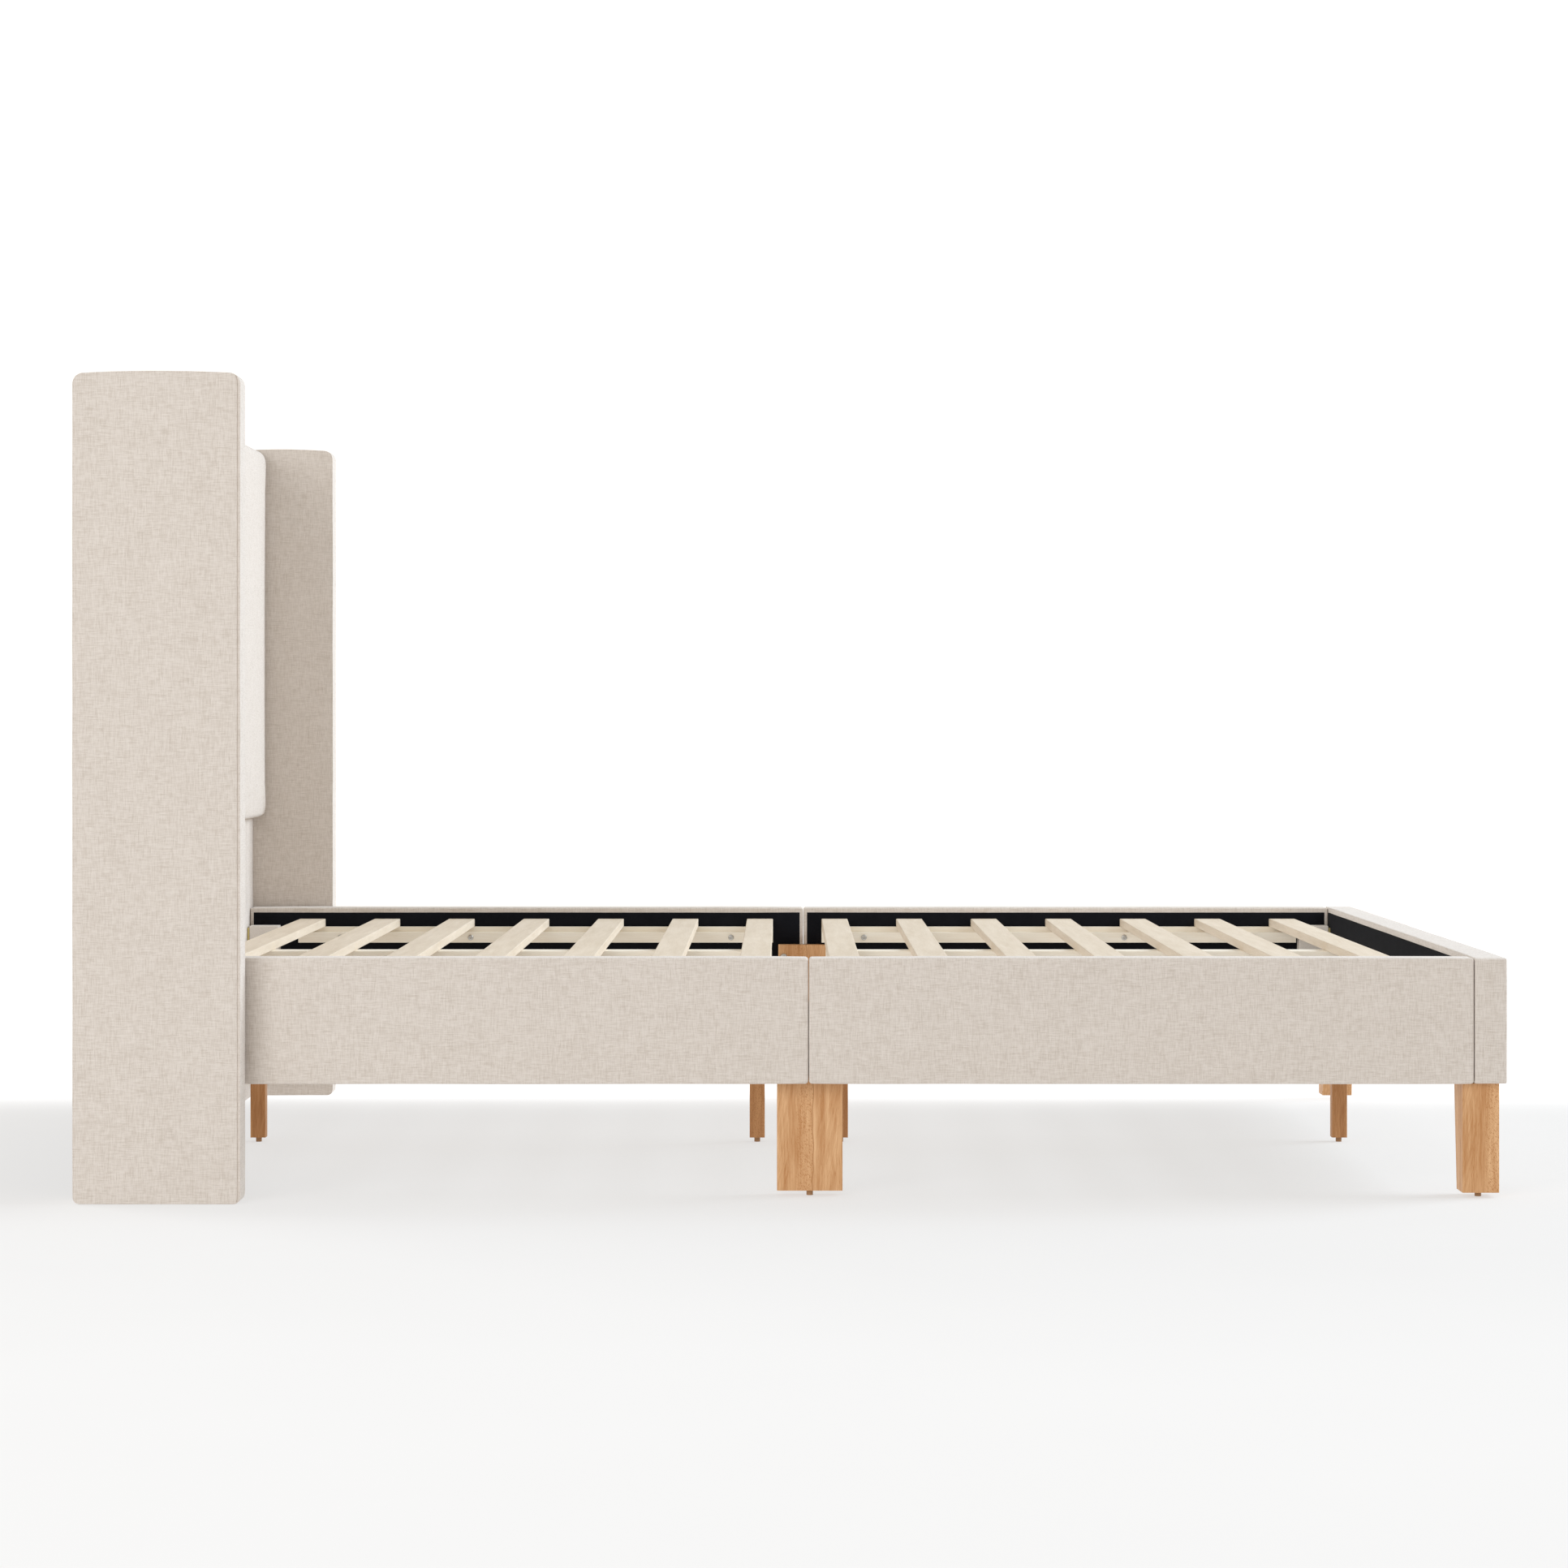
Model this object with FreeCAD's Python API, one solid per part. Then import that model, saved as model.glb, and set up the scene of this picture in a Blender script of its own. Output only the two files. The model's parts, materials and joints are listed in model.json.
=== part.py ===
import FreeCAD, Part
import os

# Upholstered wingback platform bed for a 1524 x 2032 mm mattress.
# Millimetres. +X points from the headboard to the foot end, +Y to the sleeper's left, +Z up.
# The origin is on the floor at the middle of the overall box.

V = FreeCAD.Vector

# Overall and headboard
HEAD_BACK = -1086.0
FOOT_FRONT = 1086.0
HEADBOARD_HEIGHT = 1255.0
PANEL_THICKNESS = 42.0
PAD_THICKNESS = 26.5
PAD_BOTTOM = 537.0
PAD_TOP_RADIUS = 20.0
PAD_BOTTOM_RADIUS = 16.0

# Wings
WING_THICKNESS = 55.0
WING_DEPTHS = {"left": 196.0, "right": 254.0}
WING_INNER = 819.0
WING_TOP_RADIUS = 22.0
WING_BOTTOM_RADIUS = 11.0
WING_EDGE_RADIUS = 5.0
WING_CROWN = 4.0
WING_CORE_THICKNESS = 36.0

# Side rails and footboard
RAIL_OUTER = 814.0
RAIL_THICKNESS = 46.0
RAIL_BOTTOM = 175.0
RAIL_TOP = 368.0
RAIL_SPLIT = 23.0
RAIL_CORNER_RADIUS = 5.0
FOOTBOARD_THICKNESS = 51.0

# Cloth with its thin wadding, foam and lining
COVER = 2.5
BACK_LINING = 0.8
THIN_FOAM = 2.5
PANEL_FOAM = 6.0
FLANGE = 30.0
LINING_BORDER = 10.0
LINING_END_BORDER = 7.0

# Boards and framing inside the headboard
FRONT_BOARD = 4.0
PAD_BOARD = 6.0
STILE_WIDTH = 50.0
CROSS_RAIL_HEIGHT = 60.0
CROSS_RAIL_COUNT = 4

# Slats and their supports
SLAT_COUNT = 14
SLATS_PER_HALF = 7
SLAT_WIDTH = 50.0
SLAT_THICKNESS = 15.0
SLAT_HALF_LENGTH = 765.0
SLAT_TOP = 346.0
FIRST_SLAT = -922.7
SLAT_PITCH = 143.68
HEAD_LEDGER = (-947.0, -35.5)
FOOT_LEDGER = (58.0, 969.0)
LEDGER_DEPTH = 30.0
LEDGER_HEIGHT = 20.0
BATTEN_DEPTH = 15.0
BATTEN_HEIGHT = 9.5
BEAM_WIDTH = 50.0
BEAM_HEIGHT = 60.0

# Legs
GLIDE_RADIUS = 5.0
GLIDE_HEIGHT = 8.0
CENTRE_LEG = 26.0
MIDDLE_LEG_CENTRE = 25.0
MIDDLE_LEG_WIDTH = 100.5
MIDDLE_LEG_THICKNESS = 28.0
MIDDLE_LEG_TOP = 297.0
FOOT_LEG = (1020.5, 1076.5)
FOOT_LEG_OUTER = 794.0
FOOT_LEG_TOP_DEPTH = 77.0
FOOT_LEG_BOTTOM_DEPTH = 54.0
WOOD_EDGE_RADIUS = 1.5

# Corner blocks and hook plates
BLOCK_LENGTH = 56.0
BLOCK_THICKNESS = 35.0
BLOCK_BOTTOM = 180.0
BLOCK_TOP = 334.0
PLATE = 3.5
PLATE_BOTTOM = 215.0
PLATE_TOP = 330.0

# Fasteners
CLEARANCE = 0.25
BOLT_RADIUS = 4.0
BOLT_HEAD_RADIUS = 7.0
BOLT_HEAD_HEIGHT = 4.0
CORNER_BOLT_INSET = 15.0
MIDDLE_LEG_BOLT_OFFSET = 40.0
MIDDLE_LEG_BOLT_HEIGHTS = (205.0, 273.5)
MIDDLE_LEG_BOLT_STAGGER = 12.0
WING_BOLT_HEIGHTS = (130.0, 520.0, 920.0, 1130.0)
LEDGER_BOLT_RADIUS = 3.0
LEDGER_BOLT_HEAD = (5.5, 3.0)
LEDGER_BOLT_COUNT = 4
LEDGER_BOLT_LENGTH = 48.0
LEDGER_BOLT_PITCH = 250.0
LEDGER_BOLT_INSET = 81.0
SCREW_RADIUS = 2.0
SCREW_HEAD_RADIUS = 4.0
SCREW_HEAD_HEIGHT = 2.5
SCREW_LENGTH = 35.0
HANGER_LENGTH = 60.0

# Worked out from the sizes above
PANEL_FRONT = HEAD_BACK + PANEL_THICKNESS
PAD_FRONT = PANEL_FRONT + PAD_THICKNESS
WING_OUTER = WING_INNER + WING_THICKNESS
RAIL_INNER = RAIL_OUTER - RAIL_THICKNESS
LINED_INNER = RAIL_INNER - BACK_LINING
FOOTBOARD_BACK = FOOT_FRONT - FOOTBOARD_THICKNESS
SLAT_BOTTOM = SLAT_TOP - SLAT_THICKNESS
BATTEN_BOTTOM = SLAT_BOTTOM - BATTEN_HEIGHT
LEDGER_BOTTOM = BATTEN_BOTTOM - LEDGER_HEIGHT
BEAM_BOTTOM = SLAT_BOTTOM - BEAM_HEIGHT
SIDES = (("left", 1), ("right", -1))
HALVES = (
    ("head", PANEL_FRONT, RAIL_SPLIT, HEAD_LEDGER),
    ("foot", RAIL_SPLIT, FOOTBOARD_BACK, FOOT_LEDGER),
)

parts = {}


def block(x, y, z):
    """A box between pairs of limits, each given in either order."""
    lows = [min(pair) for pair in (x, y, z)]
    sizes = [abs(pair[1] - pair[0]) for pair in (x, y, z)]
    return Part.makeBox(*sizes, V(*lows))


def grown(limits, amount):
    """A pair of limits moved outward by amount, or inward where it is negative."""
    low, high = sorted(limits)
    return (low - amount, high + amount)


def edges_along(shape, axis, test=None):
    """The straight edges that run along the axis 0, 1 or 2 and whose middle passes the test."""
    found = []
    for edge in shape.Edges:
        if len(edge.Vertexes) != 2:
            continue
        run = edge.Vertexes[1].Point - edge.Vertexes[0].Point
        if run.Length < 1e-6 or abs(run[axis]) / run.Length < 0.999:
            continue
        if test is None or test(edge.CenterOfMass):
            found.append(edge)
    return found


def softened(x, y, z, radius):
    """A box with every edge rounded."""
    solid = block(x, y, z)
    return solid.makeFillet(radius, solid.Edges)


def cylinder(start, direction, radius, length):
    return Part.makeCylinder(radius, length, start, direction)


def group(solids):
    return Part.makeCompound(solids)


def bolt(start, direction, radius, length, head_radius, head_height):
    """A round-headed fastener whose head starts at start and whose shank runs along direction."""
    way = V(*direction)
    head = cylinder(start - way * head_height, way, head_radius, head_height)
    shank = cylinder(start, way, radius, length)
    return head.fuse(shank).removeSplitter()


def drill(names, start, direction, radius, length):
    """Cuts a clearance hole for a shank out of the named parts."""
    hole = cylinder(start, V(*direction), radius + CLEARANCE, length + CLEARANCE)
    for name in names:
        parts[name] = parts[name].cut(hole)


def wing_block(inset, depth, y):
    """The outline of a wing of this depth with a crowned top, moved inward by inset, between two Y limits."""
    x_back = HEAD_BACK + inset
    x_front = HEAD_BACK + depth - inset
    z_low = inset
    z_top = HEADBOARD_HEIGHT - inset
    z_shoulder = z_top - WING_CROWN
    y_low = min(y)
    outline = ((x_back, z_shoulder), (x_back, z_low), (x_front, z_low), (x_front, z_shoulder))
    corners = [V(x, y_low, z) for x, z in outline]
    crown = Part.Arc(corners[3], V((x_back + x_front) / 2, y_low, z_top), corners[0]).toShape()
    sides = [Part.makeLine(corners[i], corners[i + 1]) for i in range(3)]
    solid = Part.Face(Part.Wire(sides + [crown])).extrude(V(0, abs(y[1] - y[0]), 0))
    middle = HEADBOARD_HEIGHT / 2
    solid = solid.makeFillet(WING_TOP_RADIUS - inset, edges_along(solid, 1, lambda point: point.z > middle))
    return solid.makeFillet(WING_BOTTOM_RADIUS - inset, edges_along(solid, 1, lambda point: point.z < middle))


def make_wings():
    """Each wing is a board wrapped in foam and then in cloth, open where it meets the headboard."""
    foam_gap = (WING_THICKNESS - WING_CORE_THICKNESS) / 2
    for side, way in SIDES:
        inner = way * WING_INNER
        outer = way * WING_OUTER
        depth = WING_DEPTHS[side]
        skin = wing_block(0, depth, (inner, outer))
        face_edges = [edge for edge in skin.Edges if abs(edge.CenterOfMass.y - outer) < 0.01]
        skin = skin.makeFillet(WING_EDGE_RADIUS, face_edges)
        foam = wing_block(COVER, depth, grown((inner, outer), -COVER))
        core = wing_block(foam_gap, depth, grown((inner, outer), -foam_gap))
        window_x = (HEAD_BACK + FLANGE / 2, PANEL_FRONT - FLANGE / 4)
        window_z = (FLANGE, HEADBOARD_HEIGHT - FLANGE)
        window = block(window_x, (inner - way, inner + way * foam_gap), window_z)
        parts[f"wing_{side}_cover"] = skin.cut(foam).cut(window)
        parts[f"wing_{side}_foam"] = foam.cut(core).cut(window)
        parts[f"wing_{side}_core"] = core


def make_headboard():
    """A timber frame with a front board, foam and cloth, lined at the back, with a padded upper half."""
    width = (-WING_INNER, WING_INNER)
    full = (0, HEADBOARD_HEIGHT)
    outer_x = (HEAD_BACK + BACK_LINING, PANEL_FRONT)
    inner_x = grown(outer_x, -COVER)
    inner_y = grown(width, -COVER)
    inner_z = grown(full, -COVER)
    window = block((HEAD_BACK, HEAD_BACK + PANEL_THICKNESS / 2), grown(width, -FLANGE), grown(full, -FLANGE))
    skin = block(outer_x, width, full)
    parts["headboard_cover"] = skin.cut(block(inner_x, inner_y, inner_z)).cut(window)
    lining_y = grown(width, -LINING_BORDER)
    lining_z = grown(full, -LINING_BORDER)
    parts["headboard_back_lining"] = block((HEAD_BACK, HEAD_BACK + BACK_LINING), lining_y, lining_z)

    foam_back = inner_x[1] - PANEL_FOAM
    board_back = foam_back - FRONT_BOARD
    parts["headboard_foam"] = block((foam_back, inner_x[1]), inner_y, inner_z)
    parts["headboard_front_board"] = block((board_back, foam_back), inner_y, inner_z)

    frame_x = (inner_x[0], board_back)
    members = []
    for centre in (inner_y[0] + STILE_WIDTH / 2, 0, inner_y[1] - STILE_WIDTH / 2):
        stile = (centre - STILE_WIDTH / 2, centre + STILE_WIDTH / 2)
        members.append(block(frame_x, stile, inner_z))
    bays = ((inner_y[0] + STILE_WIDTH, -STILE_WIDTH / 2), (STILE_WIDTH / 2, inner_y[1] - STILE_WIDTH))
    rise = (inner_z[1] - inner_z[0] - CROSS_RAIL_HEIGHT) / (CROSS_RAIL_COUNT - 1)
    for level in range(CROSS_RAIL_COUNT):
        low = inner_z[0] + level * rise
        members += [block(frame_x, bay, (low, low + CROSS_RAIL_HEIGHT)) for bay in bays]
    parts["headboard_frame"] = group(members)


def make_pad():
    """The thick pad on the headboard's upper front: a board, foam and a cloth cover."""
    def pad_block(inset, x_back):
        height = grown((PAD_BOTTOM, HEADBOARD_HEIGHT), -inset)
        solid = block((x_back, PAD_FRONT - inset), grown((-WING_INNER, WING_INNER), -inset), height)
        front = PAD_FRONT - PAD_THICKNESS / 2
        middle = sum(height) / 2
        top = edges_along(solid, 1, lambda point: point.x > front and point.z > middle)
        solid = solid.makeFillet(PAD_TOP_RADIUS - inset, top)
        low = edges_along(solid, 1, lambda point: point.x > front and point.z < middle)
        return solid.makeFillet(PAD_BOTTOM_RADIUS - inset, low)

    board_x = (PANEL_FRONT + COVER, PANEL_FRONT + COVER + PAD_BOARD)
    board_y = grown((-WING_INNER, WING_INNER), -COVER)
    board_z = grown((PAD_BOTTOM, HEADBOARD_HEIGHT), -PAD_BOARD)
    window_y = grown((-WING_INNER, WING_INNER), -FLANGE)
    window_z = grown((PAD_BOTTOM, HEADBOARD_HEIGHT), -FLANGE)
    window = block((PANEL_FRONT - 1, PANEL_FRONT + COVER), window_y, window_z)
    inside = pad_block(COVER, PANEL_FRONT + COVER)
    parts["headboard_pad_cover"] = pad_block(0, PANEL_FRONT).cut(inside).cut(window)
    board = block(board_x, board_y, board_z)
    parts["headboard_pad_board"] = board
    parts["headboard_pad_foam"] = inside.cut(board)


def upholstered_board(name, x, y, z, lined_axis, lined_limit, foam_limits):
    """A board in cloth, with thin foam under its outer face and the cloth turned onto its lined face."""
    limits = [sorted(x), sorted(y), sorted(z)]
    skin = softened(*limits, RAIL_CORNER_RADIUS)
    inside = [grown(pair, -COVER) for pair in limits]
    window = [grown(pair, -FLANGE) for pair in limits]
    window[lined_axis] = (lined_limit - COVER, lined_limit + COVER)
    parts[f"{name}_cover"] = skin.cut(block(*inside)).cut(block(*window))
    foam = list(inside)
    foam[lined_axis] = foam_limits
    foam_sheet = block(*foam)
    parts[f"{name}_core"] = block(*inside).cut(foam_sheet)
    return foam_sheet


def make_rails_and_footboard():
    foam_sheets = []
    linings = []
    height = (RAIL_BOTTOM, RAIL_TOP)
    lining_z = (RAIL_BOTTOM + LINING_BORDER, RAIL_TOP - LINING_BORDER)
    for side, way in SIDES:
        face = way * (RAIL_OUTER - COVER)
        for half, x_low, x_high, _ in HALVES:
            y = (way * RAIL_INNER, way * RAIL_OUTER)
            foam = (face, face - way * THIN_FOAM)
            name = f"rail_{side}_{half}"
            inner = way * RAIL_INNER
            foam_sheets.append(upholstered_board(name, (x_low, x_high), y, height, 1, inner, foam))
            lining_x = grown((x_low, x_high), -LINING_END_BORDER)
            linings.append(block(lining_x, (way * RAIL_INNER, way * LINED_INNER), lining_z))
    face = FOOT_FRONT - COVER
    y = (-RAIL_OUTER, RAIL_OUTER)
    foam = (face, face - THIN_FOAM)
    x = (FOOTBOARD_BACK, FOOT_FRONT)
    foam_sheets.append(upholstered_board("footboard", x, y, height, 0, FOOTBOARD_BACK, foam))
    between_rails = grown((-RAIL_INNER, RAIL_INNER), -2 * BACK_LINING)
    linings.append(block((FOOTBOARD_BACK - BACK_LINING, FOOTBOARD_BACK), between_rails, lining_z))
    parts["frame_foam_sheets"] = group(foam_sheets)
    parts["frame_inner_linings"] = group(linings)


def slat_centre(index):
    return FIRST_SLAT + SLAT_PITCH * index


def make_slats():
    half = SLAT_WIDTH / 2
    for index in range(SLAT_COUNT):
        x = grown((slat_centre(index), slat_centre(index)), half)
        slat = block(x, (-SLAT_HALF_LENGTH, SLAT_HALF_LENGTH), (SLAT_BOTTOM, SLAT_TOP))
        parts[f"slat_{index + 1:02d}"] = slat.makeFillet(WOOD_EDGE_RADIUS, edges_along(slat, 1))


def make_slat_supports():
    """Ledgers on the rails with a thinner batten on top, and two centre beams."""
    battens = []
    for half, _, _, span in HALVES:
        for side, way in SIDES:
            inboard = LINED_INNER - LEDGER_DEPTH
            ledger = block(span, (way * LINED_INNER, way * inboard), (LEDGER_BOTTOM, BATTEN_BOTTOM))
            parts[f"ledger_{side}_{half}"] = ledger
            batten_y = (way * LINED_INNER, way * (LINED_INNER - BATTEN_DEPTH))
            battens.append(block(span, batten_y, (BATTEN_BOTTOM, SLAT_BOTTOM)))
        beam = block(span, (-BEAM_WIDTH / 2, BEAM_WIDTH / 2), (BEAM_BOTTOM, SLAT_BOTTOM))
        parts[f"centre_beam_{half}"] = beam.makeFillet(WOOD_EDGE_RADIUS, edges_along(beam, 0))
    parts["slat_battens"] = group(battens)


def make_legs():
    glides = []

    def add_glide(x, y):
        glides.append(cylinder(V(x, y, 0), V(0, 0, 1), GLIDE_RADIUS, GLIDE_HEIGHT))

    half = CENTRE_LEG / 2
    for end, first in (("head", 0), ("foot", SLATS_PER_HALF)):
        legs = []
        for index in (first, first + SLATS_PER_HALF - 1):
            x = slat_centre(index)
            leg = block((x - half, x + half), (-half, half), (GLIDE_HEIGHT, BEAM_BOTTOM))
            legs.append(leg.makeFillet(WOOD_EDGE_RADIUS, edges_along(leg, 2)))
            add_glide(x, 0)
        parts[f"centre_legs_{end}"] = group(legs)

    half = MIDDLE_LEG_WIDTH / 2
    for side, way in SIDES:
        middle_y = (way * LINED_INNER, way * (LINED_INNER - MIDDLE_LEG_THICKNESS))
        middle_x = grown((MIDDLE_LEG_CENTRE, MIDDLE_LEG_CENTRE), half)
        leg = block(middle_x, middle_y, (GLIDE_HEIGHT, MIDDLE_LEG_TOP))
        parts[f"middle_leg_{side}"] = leg.makeFillet(WOOD_EDGE_RADIUS, edges_along(leg, 2))
        add_glide(MIDDLE_LEG_CENTRE, sum(middle_y) / 2)

        outer = way * FOOT_LEG_OUTER
        top_inner = way * (FOOT_LEG_OUTER - FOOT_LEG_TOP_DEPTH)
        low_inner = way * (FOOT_LEG_OUTER - FOOT_LEG_BOTTOM_DEPTH)
        x_low, x_high = FOOT_LEG
        outline = [(outer, GLIDE_HEIGHT), (outer, RAIL_BOTTOM), (top_inner, RAIL_BOTTOM)]
        outline.append((low_inner, GLIDE_HEIGHT))
        corners = [V(x_low, y, z) for y, z in outline]
        leg = Part.Face(Part.makePolygon(corners + corners[:1])).extrude(V(x_high - x_low, 0, 0))
        upright = [edge for edge in leg.Edges if abs(edge.Vertexes[1].Z - edge.Vertexes[0].Z) > GLIDE_HEIGHT]
        parts[f"foot_leg_{side}"] = leg.makeFillet(WOOD_EDGE_RADIUS, upright)
        add_glide((x_low + x_high) / 2, (outer + low_inner) / 2)
    parts["leg_glides"] = group(glides)


def make_corner_hardware():
    """A block and a hook plate at each rail end, where two bolts run into the headboard or footboard."""
    blocks = []
    plates = []
    for side, way in SIDES:
        y = (way * LINED_INNER, way * (LINED_INNER - BLOCK_THICKNESS))
        for end, along in ((PANEL_FRONT, 1), (FOOTBOARD_BACK - BACK_LINING, -1)):
            plate_x = (end, end + along * PLATE)
            block_x = (plate_x[1], plate_x[1] + along * BLOCK_LENGTH)
            plates.append(block(plate_x, y, (PLATE_BOTTOM, PLATE_TOP)))
            solid = block(block_x, y, (BLOCK_BOTTOM, BLOCK_TOP))
            blocks.append(solid.makeFillet(WOOD_EDGE_RADIUS, solid.Edges))
    parts["corner_blocks"] = group(blocks)
    parts["hook_plates"] = group(plates)


def make_frame_bolts():
    """The M8 bolts at the corners, the middle legs and the wings."""
    bolts = []

    def add(names, start, direction, length):
        bolts.append(bolt(start, direction, BOLT_RADIUS, length, BOLT_HEAD_RADIUS, BOLT_HEAD_HEIGHT))
        drill(names, start, direction, BOLT_RADIUS, length)

    corner_length = BLOCK_LENGTH + PLATE + BACK_LINING + COVER + PANEL_THICKNESS / 2
    headboard = ["headboard_cover", "headboard_foam", "headboard_front_board", "headboard_frame"]
    footboard = ["footboard_cover", "footboard_core", "frame_inner_linings"]
    panel_names = {-1: headboard, 1: footboard}
    ends = {-1: PANEL_FRONT + PLATE + BLOCK_LENGTH, 1: FOOTBOARD_BACK - BACK_LINING - PLATE - BLOCK_LENGTH}
    for _, way in SIDES:
        y = way * (LINED_INNER - BLOCK_THICKNESS / 2)
        for along, x in ends.items():
            for z in (PLATE_BOTTOM + CORNER_BOLT_INSET, PLATE_TOP - CORNER_BOLT_INSET):
                names = ["corner_blocks", "hook_plates"] + panel_names[along]
                add(names, V(x, y, z), (along, 0, 0), corner_length)

    leg_length = MIDDLE_LEG_THICKNESS + RAIL_THICKNESS / 2
    for side, way in SIDES:
        y = way * (LINED_INNER - MIDDLE_LEG_THICKNESS)
        for half, offset, drop in (("head", -1, 0), ("foot", 1, MIDDLE_LEG_BOLT_STAGGER)):
            rail = f"rail_{side}_{half}"
            names = [f"middle_leg_{side}", "frame_inner_linings", f"{rail}_cover", f"{rail}_core"]
            x = MIDDLE_LEG_CENTRE + offset * MIDDLE_LEG_BOLT_OFFSET
            for z in MIDDLE_LEG_BOLT_HEIGHTS:
                add(names, V(x, y, z - drop), (0, way, 0), leg_length)

    frame_middle = HEAD_BACK + PANEL_THICKNESS / 3
    wing_length = STILE_WIDTH + 2 * COVER + WING_CORE_THICKNESS / 2 + PANEL_FOAM
    for side, way in SIDES:
        wing = [f"wing_{side}_{layer}" for layer in ("cover", "foam", "core")]
        names = ["headboard_frame", "headboard_cover"] + wing
        y = way * (WING_INNER - COVER - STILE_WIDTH)
        for z in WING_BOLT_HEIGHTS:
            add(names, V(frame_middle, y, z), (0, way, 0), wing_length)
    parts["frame_bolts"] = group(bolts)


def make_small_fasteners():
    """Ledger bolts, the screws in the end slats of each half, and the legs' hanger bolts."""
    bolts = []
    z = (LEDGER_BOTTOM + BATTEN_BOTTOM) / 2
    for side, way in SIDES:
        y = way * (LINED_INNER - LEDGER_DEPTH)
        for half, _, _, span in HALVES:
            rail = f"rail_{side}_{half}"
            names = [f"ledger_{side}_{half}", "frame_inner_linings", f"{rail}_core", f"{rail}_cover"]
            for step in range(LEDGER_BOLT_COUNT):
                start = V(span[0] + LEDGER_BOLT_INSET + step * LEDGER_BOLT_PITCH, y, z)
                shank = (start, (0, way, 0), LEDGER_BOLT_RADIUS, LEDGER_BOLT_LENGTH)
                bolts.append(bolt(*shank, *LEDGER_BOLT_HEAD))
                drill(names, *shank)
    parts["ledger_bolts"] = group(bolts)

    screws = []
    for half, first in (("head", 0), ("foot", SLATS_PER_HALF)):
        for index in (first, first + SLATS_PER_HALF - 1):
            top = V(slat_centre(index), 0, SLAT_TOP)
            head = Part.makeCone(SCREW_HEAD_RADIUS, SCREW_RADIUS, SCREW_HEAD_HEIGHT, top, V(0, 0, -1))
            screw = head.fuse(cylinder(top, V(0, 0, -1), SCREW_RADIUS, SCREW_LENGTH)).removeSplitter()
            screws.append(screw)
            names = [f"slat_{index + 1:02d}", f"centre_beam_{half}"]
            drill(names, top, (0, 0, -1), SCREW_RADIUS, SCREW_LENGTH)
            sink_sizes = [size + CLEARANCE for size in (SCREW_HEAD_RADIUS, SCREW_RADIUS, SCREW_HEAD_HEIGHT)]
            parts[names[0]] = parts[names[0]].cut(Part.makeCone(*sink_sizes, top, V(0, 0, -1)))
    parts["slat_screws"] = group(screws)

    hangers = []

    def add_hanger(names, low):
        hangers.append(cylinder(low, V(0, 0, 1), BOLT_RADIUS, HANGER_LENGTH))
        drill(names, low - V(0, 0, CLEARANCE), (0, 0, 1), BOLT_RADIUS, HANGER_LENGTH + CLEARANCE)

    for half, first in (("head", 0), ("foot", SLATS_PER_HALF)):
        for index in (first, first + SLATS_PER_HALF - 1):
            low = V(slat_centre(index), 0, BEAM_BOTTOM - HANGER_LENGTH / 2)
            add_hanger([f"centre_legs_{half}", f"centre_beam_{half}"], low)
    for side, way in SIDES:
        x = FOOTBOARD_BACK + FOOTBOARD_THICKNESS / 2
        low = V(x, way * (FOOT_LEG_OUTER - FOOT_LEG_TOP_DEPTH / 2), RAIL_BOTTOM - HANGER_LENGTH / 2)
        add_hanger([f"foot_leg_{side}", "footboard_cover", "footboard_core"], low)
    parts["leg_hanger_bolts"] = group(hangers)


def main():
    make_headboard()
    make_pad()
    make_wings()
    make_rails_and_footboard()
    make_slats()
    make_slat_supports()
    make_legs()
    make_corner_hardware()
    make_frame_bolts()
    make_small_fasteners()
    os.makedirs("parts", exist_ok=True)
    for name, shape in parts.items():
        shape.exportStep(f"parts/{name}.step")
    print(len(parts), "parts,", sum(len(shape.Solids) for shape in parts.values()), "solids")


main()
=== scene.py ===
import json
import math

import bpy
import numpy as np
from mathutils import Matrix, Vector, noise


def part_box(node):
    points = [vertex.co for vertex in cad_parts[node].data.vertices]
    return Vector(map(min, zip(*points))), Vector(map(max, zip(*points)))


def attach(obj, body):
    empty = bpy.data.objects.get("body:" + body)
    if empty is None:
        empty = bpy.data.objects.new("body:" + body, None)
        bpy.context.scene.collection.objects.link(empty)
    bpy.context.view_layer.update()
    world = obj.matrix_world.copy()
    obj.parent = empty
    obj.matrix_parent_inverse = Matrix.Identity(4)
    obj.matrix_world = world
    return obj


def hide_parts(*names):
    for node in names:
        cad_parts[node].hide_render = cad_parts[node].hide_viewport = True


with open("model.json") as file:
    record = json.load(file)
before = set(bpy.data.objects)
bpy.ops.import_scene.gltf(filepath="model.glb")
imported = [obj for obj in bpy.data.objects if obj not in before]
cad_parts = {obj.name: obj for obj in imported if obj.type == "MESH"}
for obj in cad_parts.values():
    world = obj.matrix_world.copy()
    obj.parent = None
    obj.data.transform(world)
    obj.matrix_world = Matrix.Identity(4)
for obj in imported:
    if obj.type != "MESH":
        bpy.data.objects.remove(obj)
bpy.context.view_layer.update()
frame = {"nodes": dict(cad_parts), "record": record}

# Metres throughout. +X is the foot end, -Y is the side that faces the camera, +Z is up.
MM = 0.001
BODY = "root"


# ---------------------------------------------------------------- camera, floor and light

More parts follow.
